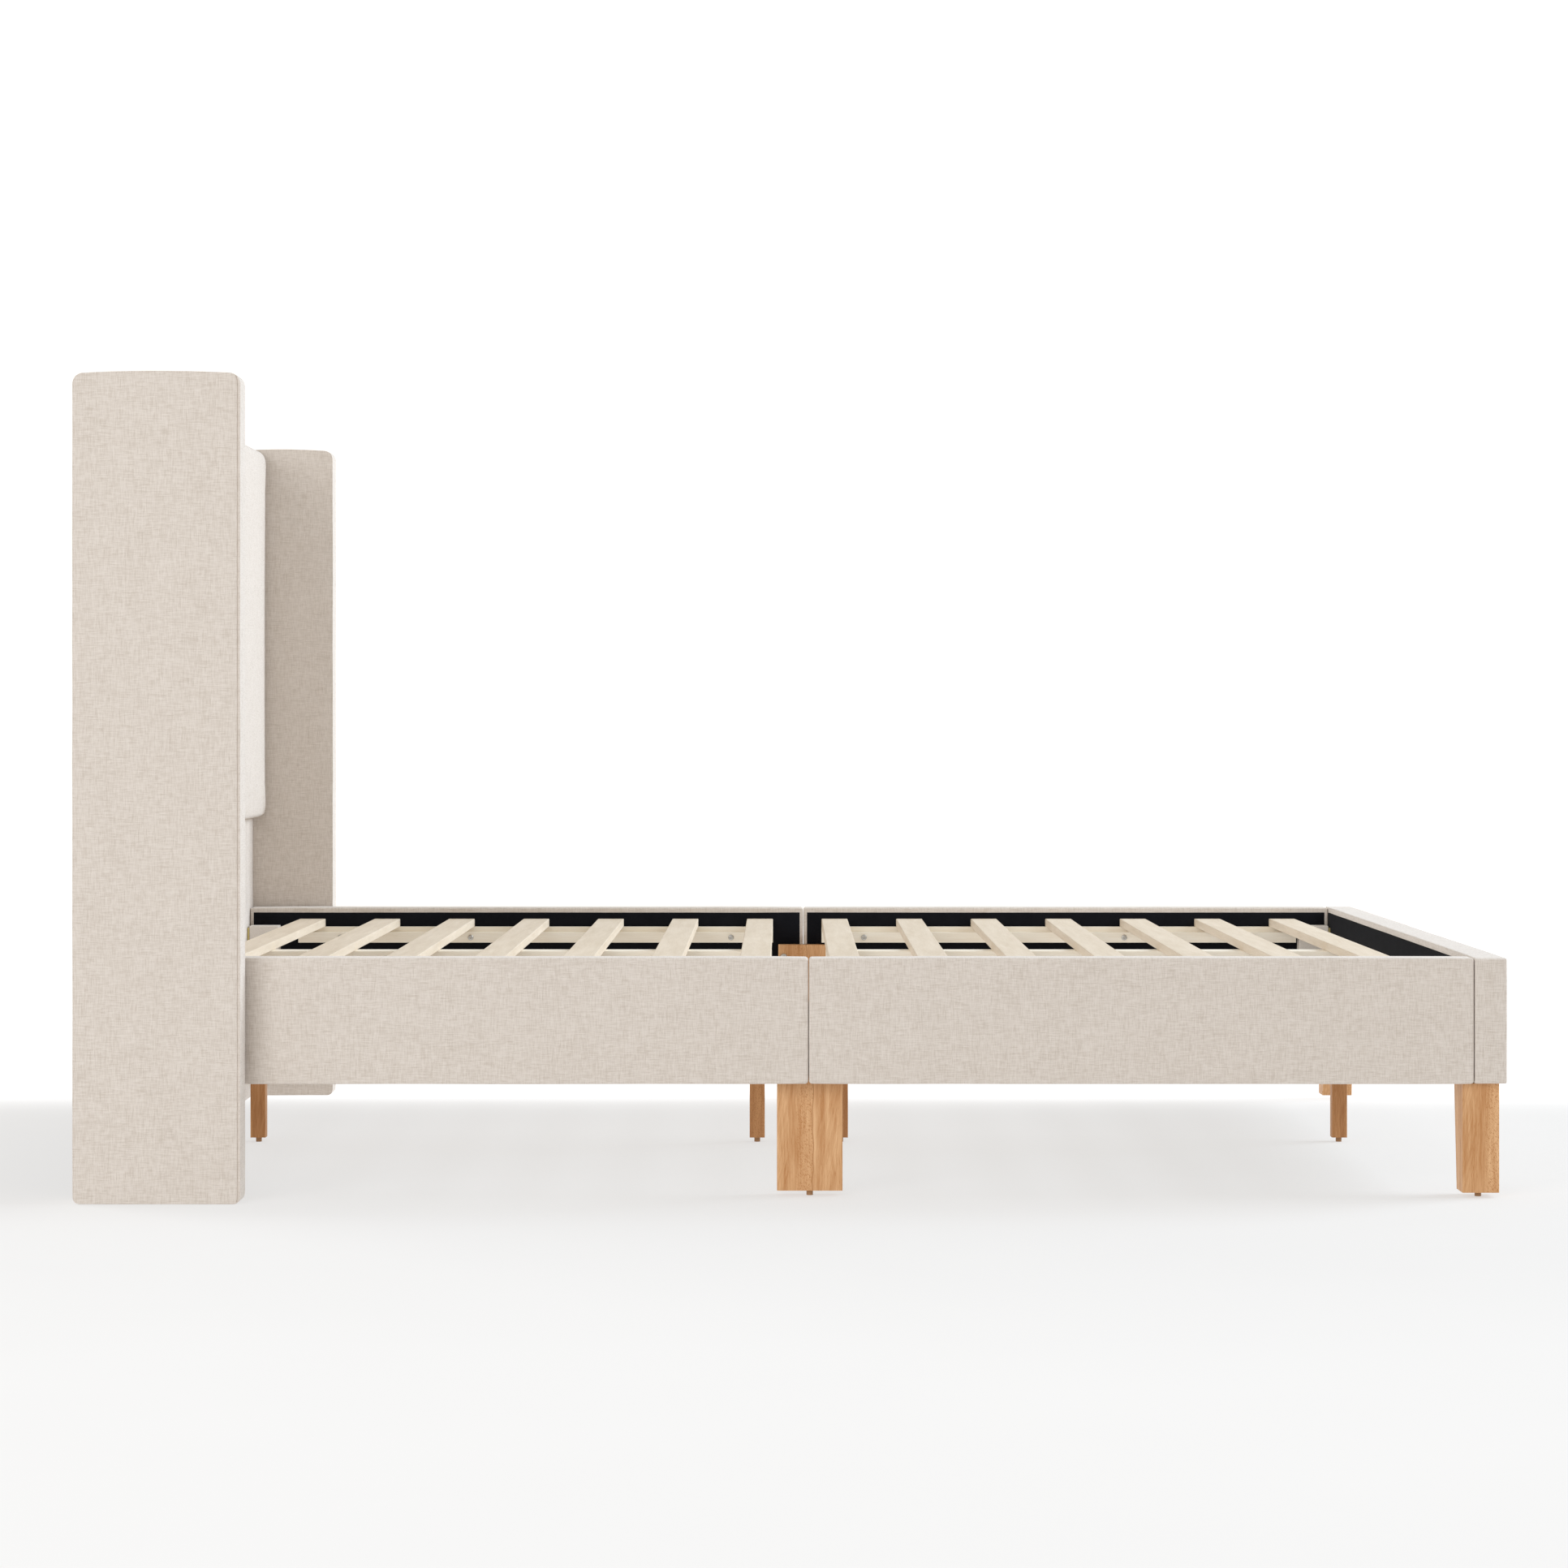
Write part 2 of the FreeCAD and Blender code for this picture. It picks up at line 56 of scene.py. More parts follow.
CAMERA_PLACE = (-0.01515, -6.699, 0.729)
FOCAL_WIDTHS = 2.4695
CAMERA_SHIFT = (0.0003, -0.0408)
SENSOR = 36.0
FLOOR_NEAR = -9.0
FLOOR_FAR = 7.0
FLOOR_HALF_WIDTH = 9.0
FADE_START = 0.05
FADE_END = 1.05
FADE_POWER = 4.0
FRONT_START = 1.2
FRONT_END = 2.6
FRONT_GLOW = 0.035
FLOOR_GLOW = 0.585
WORLD_LIGHT = 0.58
FAR_GLOW = 1.35
WHITE = (1, 1, 1, 1)
SKY_COLOUR = (1.03, 1.0, 0.955, 1)
SKY_SEEN = 1.1
# Each light's name, place, target, size, power in watts and colour.
LIGHTS = (
    ("left", (-3.6, -7.0, 2.6), (-0.3, -0.6, 0.6), (3.5, 3.5), 203, (0.97, 1.0, 1.03)),
    ("right", (8.4, 1.5, 5.4), (0.0, 0.0, 0.5), (6.5, 5.5), 960, (0.87, 1.0, 1.14)),
    ("floor", (-4.0, 1.0, 2.2), (-2.2, -0.2, 0.0), (2.0, 2.0), 62, (1.0, 1.0, 1.0)),
)


def make_camera():
    data = bpy.data.cameras.new("camera")
    data.sensor_width = SENSOR
    data.lens = FOCAL_WIDTHS * SENSOR
    data.shift_x, data.shift_y = CAMERA_SHIFT
    data.clip_end = 100.0
    camera = bpy.data.objects.new("camera", data)
    camera.location = CAMERA_PLACE
    camera.rotation_euler = (math.radians(90), 0, 0)
    bpy.context.scene.collection.objects.link(camera)
    bpy.context.scene.camera = camera


def area_light(name, place, target, size, power, colour):
    data = bpy.data.lights.new(name, "AREA")
    data.shape = "RECTANGLE"
    data.size, data.size_y = size
    data.energy = power
    data.color = colour
    light = bpy.data.objects.new(name, data)
    light.location = place
    light.rotation_euler = (Vector(target) - Vector(place)).to_track_quat("-Z", "Y").to_euler()
    bpy.context.scene.collection.objects.link(light)


def make_sky():
    """A soft sky that lights the bed gently, and looks white behind it."""
    world = bpy.data.worlds.new("studio")
    bpy.context.scene.world = world
    world.use_nodes = True
    sky = world.node_tree.nodes["Background"]
    sky.inputs["Color"].default_value = SKY_COLOUR
    rays = world.node_tree.nodes.new("ShaderNodeLightPath")
    level = world.node_tree.nodes.new("ShaderNodeMapRange")
    level.inputs["To Min"].default_value = WORLD_LIGHT
    level.inputs["To Max"].default_value = SKY_SEEN
    world.node_tree.links.new(rays.outputs["Is Camera Ray"], level.inputs["Value"])
    world.node_tree.links.new(level.outputs["Result"], sky.inputs["Strength"])


# ---------------------------------------------------------------- material helpers

class Shader:
    """A material with a Principled surface, and short ways to add nodes to it."""

    def __init__(self, name, roughness=0.8, metallic=0.0, sheen=0.0, specular=0.5):
        self.material = bpy.data.materials.new(name)
        self.material.use_nodes = True
        self.tree = self.material.node_tree
        self.surface = self.tree.nodes["Principled BSDF"]
        self.surface.inputs["Roughness"].default_value = roughness
        self.surface.inputs["Metallic"].default_value = metallic
        self.surface.inputs["Sheen Weight"].default_value = sheen
        self.surface.inputs["Specular IOR Level"].default_value = specular

    def put(self, value, socket):
        if hasattr(value, "is_output"):
            self.tree.links.new(value, socket)
        else:
            socket.default_value = value

    def math(self, operation, first, second=0.0, clamp=False):
        node = self.tree.nodes.new("ShaderNodeMath")
        node.operation = operation
        node.use_clamp = clamp
        self.put(first, node.inputs[0])
        self.put(second, node.inputs[1])
        return node.outputs[0]

    def combine(self, x, y, z=0.0):
        node = self.tree.nodes.new("ShaderNodeCombineXYZ")
        for value, socket in zip((x, y, z), node.inputs):
            self.put(value, socket)
        return node.outputs[0]

    def split(self, vector):
        node = self.tree.nodes.new("ShaderNodeSeparateXYZ")
        self.put(vector, node.inputs[0])
        return node.outputs

    def place(self):
        """The point's place in the object's own frame, in metres."""
        return self.split(self.tree.nodes.new("ShaderNodeTexCoord").outputs["Object"])

    def noise(self, vector, scale=1.0, detail=2.0, rough=0.5, distortion=0.0):
        node = self.tree.nodes.new("ShaderNodeTexNoise")
        self.put(vector, node.inputs["Vector"])
        node.inputs["Scale"].default_value = scale
        node.inputs["Detail"].default_value = detail
        node.inputs["Roughness"].default_value = rough
        node.inputs["Distortion"].default_value = distortion
        return node.outputs["Fac"]

    def ramp(self, factor, stops):
        node = self.tree.nodes.new("ShaderNodeValToRGB")
        self.put(factor, node.inputs[0])
        elements = node.color_ramp.elements
        while len(elements) < len(stops):
            elements.new(0.5)
        for element, (position, colour) in zip(elements, stops):
            element.position = position
            element.color = (*colour, 1.0)
        return node.outputs["Color"]

    def spread(self, factor, low, high, to_low=0.0, to_high=1.0):
        node = self.tree.nodes.new("ShaderNodeMapRange")
        node.interpolation_type = "SMOOTHSTEP"
        self.put(factor, node.inputs["Value"])
        self.put(low, node.inputs["From Min"])
        self.put(high, node.inputs["From Max"])
        self.put(to_low, node.inputs["To Min"])
        self.put(to_high, node.inputs["To Max"])
        return node.outputs["Result"]

    def mix(self, factor, first, second, blend="MIX"):
        node = self.tree.nodes.new("ShaderNodeMix")
        node.data_type = "RGBA"
        node.blend_type = blend
        self.put(factor, node.inputs["Factor"])
        for value, index in ((first, 6), (second, 7)):
            if not hasattr(value, "is_output"):
                value = (*value, 1.0)
            self.put(value, node.inputs[index])
        return node.outputs[2]

    def bump(self, height, strength, distance):
        node = self.tree.nodes.new("ShaderNodeBump")
        node.inputs["Strength"].default_value = strength
        node.inputs["Distance"].default_value = distance
        self.put(height, node.inputs["Height"])
        self.tree.links.new(node.outputs["Normal"], self.surface.inputs["Normal"])

    def colour(self, colour):
        self.put(colour, self.surface.inputs["Base Color"])

    def flat_place(self):
        """Two coordinates that lie in whichever face of the block the point is on."""
        x, y, z = self.place()
        normal = self.tree.nodes.new("ShaderNodeTexCoord").outputs["Normal"]
        nx, ny, nz = (self.math("ABSOLUTE", part) for part in self.split(normal))
        on_end = self.math("GREATER_THAN", nx, self.math("MAXIMUM", ny, nz))
        on_top = self.math("GREATER_THAN", nz, self.math("MAXIMUM", nx, ny))
        u = self.math("ADD", x, self.math("MULTIPLY", on_end, self.math("SUBTRACT", y, x)))
        v = self.math("ADD", z, self.math("MULTIPLY", on_top, self.math("SUBTRACT", y, z)))
        return u, v


# ---------------------------------------------------------------- materials

THREAD_WIDTH = 1.3 * MM
THREAD_LENGTH = 15 * MM
SLUB_WIDTH = 2.0 * MM
SLUB_LENGTH = 30 * MM
SLUB_RANGE = (0.52, 0.76)
SLUB_WEIGHT = 0.13
PATCH_WEIGHT = 0.07
WEAVE_RANGE = (0.29, 0.70)
WEAVE_RELIEF = 0.4 * MM
GRAIN_WANDER = 16 * MM
GRAIN_RELIEF = 0.3 * MM
VEIN_PLACE = 29 * MM
VEIN_PITCH = 75 * MM
VEIN_SWAY = 12 * MM
FLECK_SLANT = 0.45
RAY_SLANT = -0.24


def linen(name, light, dark):
    """Slubby linen: uneven threads both ways, thicker ones here and there, and a soft fuzz."""
    cloth = Shader(name, roughness=0.92, sheen=0.25, specular=0.15)
    u, v = cloth.flat_place()

    def threads(across, along, width, length, seed):
        across = cloth.math("MULTIPLY", across, 1 / width)
        along = cloth.math("MULTIPLY", along, 1 / length)
        return cloth.noise(cloth.combine(across, along, seed), detail=2.0, rough=0.6)

    warp = threads(u, v, THREAD_WIDTH, THREAD_LENGTH, 1.7)
    weft = threads(v, u, THREAD_WIDTH, THREAD_LENGTH, 8.3)
    warp_slub = threads(u, v, SLUB_WIDTH, SLUB_LENGTH, 14.9)
    weft_slub = threads(v, u, SLUB_WIDTH, SLUB_LENGTH, 21.1)
    patch = cloth.noise(cloth.combine(u, v, 3.3), scale=22.0, detail=3.0)
    fine = cloth.math("ADD", warp, weft)
    slub = cloth.math("ADD", cloth.spread(warp_slub, *SLUB_RANGE), cloth.spread(weft_slub, *SLUB_RANGE))
    tone = cloth.math("ADD", cloth.math("MULTIPLY", fine, 0.5), cloth.math("MULTIPLY", patch, PATCH_WEIGHT))
    tone = cloth.math("SUBTRACT", tone, cloth.math("MULTIPLY", slub, SLUB_WEIGHT))
    factor = cloth.spread(tone, *WEAVE_RANGE)
    cloth.colour(cloth.mix(factor, dark, light))
    relief = cloth.math("ADD", fine, cloth.math("MULTIPLY", slub, -0.6))
    cloth.bump(relief, 0.4, WEAVE_RELIEF)
    return cloth.material


def wood(name, pale, deep, grain_axis, figure=1.0, gloss=0.5, vein=0.0, fleck=0.0):
    """Timber with its grain along one axis: streaks, pores and, where wanted, dark veins and ray flecks."""
    timber = Shader(name, roughness=gloss, specular=0.35)
    parts = list(timber.place())
    along = parts.pop(grain_axis)
    across, through = parts

    def times(value, amount):
        return timber.math("MULTIPLY", value, amount)

    def streaks(position, width, length, seed, detail):
        depth = timber.math("ADD", times(through, 1 / width), seed)
        vector = timber.combine(times(position, 1 / width), times(along, 1 / length), depth)
        return timber.noise(vector, detail=detail, rough=0.6)

    wander = timber.noise(timber.combine(times(along, 6.0), times(across, 9.0), through), detail=2.0)
    bent = timber.math("ADD", across, times(wander, GRAIN_WANDER))
    bands = streaks(bent, 13 * MM, 190 * MM, 2.0, 2.0)
    fine = streaks(bent, 1.7 * MM, 46 * MM, 9.0, 3.0)
    pores = timber.spread(streaks(bent, 0.9 * MM, 13 * MM, 17.0, 1.0), 0.60, 0.74)
    tone = timber.math("ADD", times(bands, 0.6), times(fine, 0.4))
    tone = timber.math("SUBTRACT", tone, times(pores, 0.10))

    # How far each point is from the nearest vein, as a share of the pitch between veins.
    sway = streaks(along, 60 * MM, 130 * MM, 61.0, 1.0)
    aside = timber.math("ADD", across, times(timber.math("SUBTRACT", sway, 0.5), VEIN_SWAY))
    turns = times(timber.math("SUBTRACT", aside, VEIN_PLACE), 1 / VEIN_PITCH)
    from_vein = timber.math("SUBTRACT", timber.math("FRACT", timber.math("ADD", turns, 0.5)), 0.5)
    if fleck:
        before = timber.spread(from_vein, -0.38, -0.22)
        inside = times(before, timber.spread(from_vein, -0.01, 0.0, 1.0, 0.0))
        beyond = timber.spread(from_vein, 0.02, 0.2)
        dash = timber.math("ADD", across, times(along, FLECK_SLANT))
        dashes = timber.spread(streaks(dash, 1.2 * MM, 3.0 * MM, 41.0, 1.0), 0.54, 0.68)
        slant = timber.math("ADD", across, times(along, RAY_SLANT))
        rays = timber.spread(streaks(slant, 1.5 * MM, 60 * MM, 51.0, 2.0), 0.40, 0.66, -0.5, 0.5)
        tone = timber.math("SUBTRACT", tone, times(times(dashes, inside), fleck))
        tone = timber.math("ADD", tone, times(times(rays, beyond), fleck * 0.3))

    middle = tuple((a + b) / 2 for a, b in zip(pale, deep))
    reach = 0.22 / figure
    colour = timber.ramp(tone, ((0.5 - reach, deep), (0.5, middle), (0.5 + reach, pale)))
    if vein:
        edge = timber.spread(timber.math("ABSOLUTE", from_vein), 0.003, 0.015, 1.0, 0.0)
        colour = timber.mix(times(edge, vein), colour, tuple(0.85 * part for part in deep))
    timber.colour(colour)
    timber.bump(timber.math("SUBTRACT", fine, pores), 0.15, GRAIN_RELIEF)
    return timber.material


def non_woven(name):
    """Black non-woven lining: matted short fibres with a faint sheen."""
    felt = Shader(name, roughness=0.95, sheen=0.02, specular=0.05)
    u, v = felt.flat_place()
    fibres = felt.noise(felt.combine(u, v), scale=900.0, detail=4.0, rough=0.7, distortion=1.2)
    cloud = felt.noise(felt.combine(u, v, 5.0), scale=30.0, detail=2.0)
    tone = felt.math("ADD", felt.math("MULTIPLY", fibres, 0.7), felt.math("MULTIPLY", cloud, 0.3))
    felt.colour(felt.ramp(tone, ((0.3, (0.0035, 0.0035, 0.0045)), (0.75, (0.013, 0.013, 0.016)))))
    felt.bump(fibres, 0.3, 0.3 * MM)
    return felt.material


def metal(name, bright, dull, roughness):
    """Plated steel with faint rolling marks and slightly cloudy plating."""
    plate = Shader(name, roughness=roughness, metallic=1.0)
    x, y, z = plate.place()
    cloud = plate.noise(plate.combine(x, y, z), scale=90.0, detail=3.0)
    scales = ((x, 600.0), (y, 600.0), (z, 60.0))
    marks = plate.noise(plate.combine(*(plate.math("MULTIPLY", part, scale) for part, scale in scales)))
    plate.colour(plate.mix(cloud, dull, bright))
    worn = plate.spread(marks, 0.2, 0.8, roughness - 0.08, roughness + 0.1)
    plate.put(worn, plate.surface.inputs["Roughness"])
    plate.bump(marks, 0.1, 0.1 * MM)
    return plate.material


def plain_grain(name, light, dark, scale, roughness):
    """A dull surface with a fine speckle, for foam, board, wrapped blocks and moulded plastic."""
    dull = Shader(name, roughness=roughness, specular=0.3)
    x, y, z = dull.place()
    speckle = dull.noise(dull.combine(x, y, z), scale=scale, detail=4.0, rough=0.65)
    dull.colour(dull.mix(dull.spread(speckle, 0.3, 0.7), dark, light))
    dull.bump(speckle, 0.2, 0.3 * MM)
    return dull.material


def studio_floor(name):
    """A pale matte floor that fades into the white background behind the bed."""
    paper = Shader(name, roughness=0.9, specular=0.1)
    x, y, z = paper.place()
    grain = paper.noise(paper.combine(x, y), scale=3.0, detail=2.0)
    paper.colour(paper.mix(grain, (0.255, 0.245, 0.235), (0.265, 0.255, 0.245)))
    paper.surface.inputs["Emission Color"].default_value = WHITE
    forward = paper.math("MULTIPLY", y, -1.0)
    front = paper.spread(forward, FRONT_START, FRONT_END, FLOOR_GLOW, FLOOR_GLOW + FRONT_GLOW)
    paper.put(front, paper.surface.inputs["Emission Strength"])
    fade = paper.math("POWER", paper.spread(y, FADE_START, FADE_END), FADE_POWER)
    glow = paper.tree.nodes.new("ShaderNodeEmission")
    glow.inputs["Color"].default_value = WHITE
    glow.inputs["Strength"].default_value = FAR_GLOW
    blend = paper.tree.nodes.new("ShaderNodeMixShader")
    output = paper.tree.nodes["Material Output"]
    paper.tree.links.new(fade, blend.inputs[0])
    paper.tree.links.new(paper.surface.outputs[0], blend.inputs[1])
    paper.tree.links.new(glow.outputs[0], blend.inputs[2])
    paper.tree.links.new(blend.outputs[0], output.inputs["Surface"])
    return paper.material


# ---------------------------------------------------------------- mesh helpers

def mesh_object(name, vertices, faces, material, smooth=True):
    mesh = bpy.data.meshes.new(name)
    mesh.from_pydata([tuple(v) for v in vertices], [], faces)
    mesh.validate()
    mesh.update()
    if smooth:
        mesh.shade_smooth()
    mesh.materials.append(material)
    piece = bpy.data.objects.new(name, mesh)
    bpy.context.scene.collection.objects.link(piece)
    return piece


EDGE_ANGLES = (45, 37, 29, 21, 13, 6, 0)
CLOSEST_LINES = 0.05 * MM


def axis_lines(low, high, radius, step, extra=()):
    """Grid positions along one axis: close together round the edges, and step apart between them."""
    edge = [radius * (1 - math.tan(math.radians(angle))) for angle in EDGE_ANGLES]
    inner_low, inner_high = low + radius, high - radius
    count = max(1, round((inner_high - inner_low) / step))
    inner = [inner_low + (inner_high - inner_low) * i / count for i in range(1, count)]
    lines = [low + e for e in edge] + inner + [high - e for e in edge] + list(extra)
    kept = []
    for line in sorted(lines):
        if not kept or line - kept[-1] > CLOSEST_LINES:
            kept.append(line)
    return kept


def shell_of_grid(lines):
    """The outer surface of a box-shaped grid, as vertices and outward quads."""
    counts = [len(axis) for axis in lines]
    numbers = {}
    vertices = []

    def vertex(index):
        if index not in numbers:
            numbers[index] = len(vertices)
            vertices.append([lines[axis][index[axis]] for axis in range(3)])
        return numbers[index]

    faces = []
    for axis in range(3):
        first, second = (axis + 1) % 3, (axis + 2) % 3
        for side in (0, counts[axis] - 1):
            for i in range(counts[first] - 1):
                for j in range(counts[second] - 1):
                    quad = []
                    for di, dj in ((0, 0), (1, 0), (1, 1), (0, 1)):
                        index = [0, 0, 0]
                        index[axis], index[first], index[second] = side, i + di, j + dj
                        quad.append(vertex(tuple(index)))
                    faces.append(quad if side else quad[::-1])
    return np.array(vertices), faces


def near(distance, width):
    return np.exp(-((distance / width) ** 2))


def rounded_corner(points, axes, corner, radius, signs):
    """Bends the block's square corner in one plane into an arc."""
    a, b = axes
    centre_a = corner[0] - signs[0] * radius
    centre_b = corner[1] - signs[1] * radius
    along_a = np.clip((points[:, a] - centre_a) * signs[0] / radius, 0, 1)
    along_b = np.clip((points[:, b] - centre_b) * signs[1] / radius, 0, 1)
    inside = (along_a > 0) & (along_b > 0)
    new_a = centre_a + signs[0] * radius * along_a * np.sqrt(1 - along_b**2 / 2)
    new_b = centre_b + signs[1] * radius * along_b * np.sqrt(1 - along_a**2 / 2)
    points[inside, a] = new_a[inside]
    points[inside, b] = new_b[inside]


def corner_lines(position, radius, sign):
    return [position - sign * radius * part / 5 for part in range(1, 6)]


class Upholstery:
    """A block of board, foam and cloth, with rounded edges, faces that swell and edges that pull in."""

    def __init__(self, low, high, radius, step=0.02, extra=((), (), ())):
        self.low, self.high = np.array(low), np.array(high)
        lines = [axis_lines(low[a], high[a], radius, step, extra[a]) for a in range(3)]
        self.flat, self.faces = shell_of_grid(lines)
        core = np.clip(self.flat, self.low + radius, self.high - radius)
        out = self.flat - core
        self.way = out / np.linalg.norm(out, axis=1)[:, None]
        self.points = core + self.way * radius

    def facing(self, axis, sign=0):
        part = self.way[:, axis] * sign if sign else np.abs(self.way[:, axis])
        return np.clip((part - 0.6) / 0.3, 0, 1)

    def swell(self, axis, amount, power=4, sign=0):
        """Pulls the face's edges in by amount, so that its middle stands proud."""
        others = [a for a in range(3) if a != axis]
        middle, half = (self.low + self.high) / 2, (self.high - self.low) / 2
        shape = np.ones(len(self.flat))
        for a in others:
            shape *= 1 - np.abs((self.flat[:, a] - middle[a]) / half[a]) ** power
        self.points += self.way * (self.facing(axis, sign) * amount * (shape - 1))[:, None]

    def line_seam(self, face, across, position, depth, width=0.9 * MM, sign=0):
        """A straight sewn groove on one face, across one axis at a position."""
        groove = near(self.flat[:, across] - position, width) * self.facing(face, sign)
        self.points -= self.way * (groove * depth)[:, None]

    def uneven(self, amount, scale, seed):
        """Small hand-made unevenness, the same on every run."""
        shift = Vector((seed * 7.31, seed * 3.17, seed * 5.93))
        wobble = np.array([noise.noise(Vector(p) * scale + shift) for p in self.flat])
        self.points += self.way * (wobble * amount - abs(amount) / 2)[:, None]

    def build(self, name, material):
        return mesh_object(name, self.points, self.faces, material)


def upholstered(piece, fill, *nodes):
    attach(piece, BODY)
    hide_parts(*nodes)


# ---------------------------------------------------------------- cloth simulation

VOXEL = 7 * MM
CLOTH_PRESSURE = 4.0
CLOTH_FRAMES = 20
CLOTH_QUALITY = 4
CLOTH_SLACK = -0.004


def applied(piece):
    """The piece's mesh with its modifiers applied, which are then removed."""
    bpy.context.view_layer.update()
    shaped = piece.evaluated_get(bpy.context.evaluated_depsgraph_get())
    mesh = bpy.data.meshes.new_from_object(shaped)
    piece.modifiers.clear()
    return mesh


def mesh_points(mesh):
    points = np.empty(len(mesh.vertices) * 3)
    mesh.vertices.foreach_get("co", points)
    return points.reshape(-1, 3)


def even_mesh(piece):
    """Gives a piece an even mesh of small squares, which a cloth simulation needs."""
    remesh = piece.modifiers.new("remesh", "REMESH")
    remesh.mode = "VOXEL"
    remesh.voxel_size = VOXEL
    material = piece.data.materials[0]
    piece.data = applied(piece)
    piece.data.materials.clear()
    piece.data.materials.append(material)


def simulated(piece, cap, pinned):
    """Runs a cloth simulation on a padded piece, and caps how far each point moves.

    At this pressure nearly every free point passes the cap, so the result is close to an even swell of cap.
    """
    even_mesh(piece)
    start = mesh_points(piece.data)
    group = piece.vertex_groups.new(name="held")
    group.add([i for i, point in enumerate(start) if pinned(point)], 1.0, "REPLACE")
    cloth = piece.modifiers.new("cloth", "CLOTH")
    cloth.settings.quality = CLOTH_QUALITY
    cloth.settings.use_pressure = True
    cloth.settings.uniform_pressure_force = CLOTH_PRESSURE
    cloth.settings.vertex_group_mass = "held"
    cloth.settings.effector_weights.gravity = 0
    cloth.settings.shrink_min = CLOTH_SLACK
    cloth.point_cache.frame_start = 1
    cloth.point_cache.frame_end = CLOTH_FRAMES
    scene = bpy.context.scene
    for step in range(1, CLOTH_FRAMES + 1):
        scene.frame_set(step)
    shaped = applied(piece)
    move = mesh_points(shaped) - start
    length = np.linalg.norm(move, axis=1)
    move *= (np.minimum(length, cap) / np.maximum(length, 1e-9))[:, None]
    shaped.vertices.foreach_set("co", (start + move).ravel())
    scene.frame_set(1)
    piece.data = shaped
    shaped.shade_smooth()
    smoother = piece.modifiers.new("subdivision", "SUBSURF")
    smoother.levels = 1
    smoother.render_levels = 1


# ---------------------------------------------------------------- upholstered pieces

EDGE = 3.2 * MM
WING_EDGE = 2.6 * MM
WING_SWELL = 1.6 * MM
WING_FRONT_SWELL = 0.3 * MM
SEAM_INSET = 4.6 * MM
SEAM_WIDTH = 0.7 * MM
SEAM_DEPTH = 1.7 * MM
WING_CORNERS = ((1, 1, 17 * MM), (-1, 1, 17 * MM), (1, -1, 12 * MM), (-1, -1, 12 * MM))
WING_CROWN = 4 * MM
WING_CROWN_REACH = 0.12
PANEL_SWELL = 0.8 * MM
PANEL_SEAM = 736 * MM
PANEL_SEAM_LINES = (-5, -4.2, -3.4, -1.0, 1.0, 3.4, 4.2, 5)
PANEL_GROOVES = (-4.2 * MM, 4.2 * MM)
PANEL_GROOVE_DEPTH = 0.6 * MM
PAD_SLACK = 2.0 * MM
PAD_SIDE_GAP = 1.0 * MM
PAD_TOP_CORNER = 19 * MM
PAD_BOTTOM_CORNER = 15 * MM
PAD_STEP = 0.012
PAD_HELD_DEPTH = 5 * MM
BOARD_EDGE = 4.0 * MM
BOARD_CORNER = 5.5 * MM
BOARD_SWELL = 0.7 * MM
BOARD_END_SWELL = 0.3 * MM
BOARD_STEP = 0.025
SPLIT_GAP = 0.25 * MM
FIRST_RAIL_SEED = 11
FOOTBOARD_SEED = 20
WELD = 0.02 * MM
LINING_STEP = 40 * MM
LINING_FOLD = 1.0 * MM
LINING_TURN = 1.6 * MM
LINING_SLACK = 0.2 * MM
LINING_RIPPLE = 14
BOLT_SIDES = 24
SHORTEST_HEAD = 1.2 * MM
SCREW_SINK = 2.0 * MM
# The dome of a bolt's head: shares of its radius and of its height, from the socket's rim to the lower edge.
HEAD_DOME = ((0.52, 0.0), (0.72, 0.07), (0.88, 0.24), (0.97, 0.50), (1.0, 0.78), (0.98, 1.0))
SOCKET_SHARE = 0.42


def seam_lines(low, high):
    """Grid positions across a seam near each end of a face."""
    places = []
    for turns in (-2, -1, -0.5, 0, 0.5, 1, 2):
        offset = turns * SEAM_WIDTH
        places += [low + SEAM_INSET + offset, high - SEAM_INSET + offset]
    return places


def make_wing(side, material, seed):
    node = f"wing_{side}_cover"
    low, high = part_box(node)
    extra = [seam_lines(low.x, high.x), (), seam_lines(low.z, high.z)]
    for sign_x, sign_z, radius in WING_CORNERS:
        extra[0] += corner_lines(high.x if sign_x > 0 else low.x, radius, sign_x)
        extra[2] += corner_lines(high.z if sign_z > 0 else low.z, radius, sign_z)
    wing = Upholstery(low, high, WING_EDGE, extra=extra)
    wing.swell(1, WING_SWELL, power=6)
    wing.swell(0, WING_FRONT_SWELL, power=8)
    outer = 1 if side == "left" else -1
    wing.line_seam(1, 0, high.x - SEAM_INSET, SEAM_DEPTH, SEAM_WIDTH, sign=outer)
    wing.uneven(0.5 * MM, 9.0, seed)
    for sign_x, sign_z, radius in WING_CORNERS:
        corner = (high.x if sign_x > 0 else low.x, high.z if sign_z > 0 else low.z)
        rounded_corner(wing.points, (0, 2), corner, radius, (sign_x, sign_z))
    across = (wing.points[:, 0] - (low.x + high.x) / 2) / ((high.x - low.x) / 2)
    top = np.clip((wing.points[:, 2] - high.z + WING_CROWN_REACH) / WING_CROWN_REACH, 0, 1)
    wing.points[:, 2] -= WING_CROWN * across**2 * top
    piece = wing.build(f"wing_{side}_upholstery", material)
    upholstered(piece, 0.9, node, f"wing_{side}_foam")


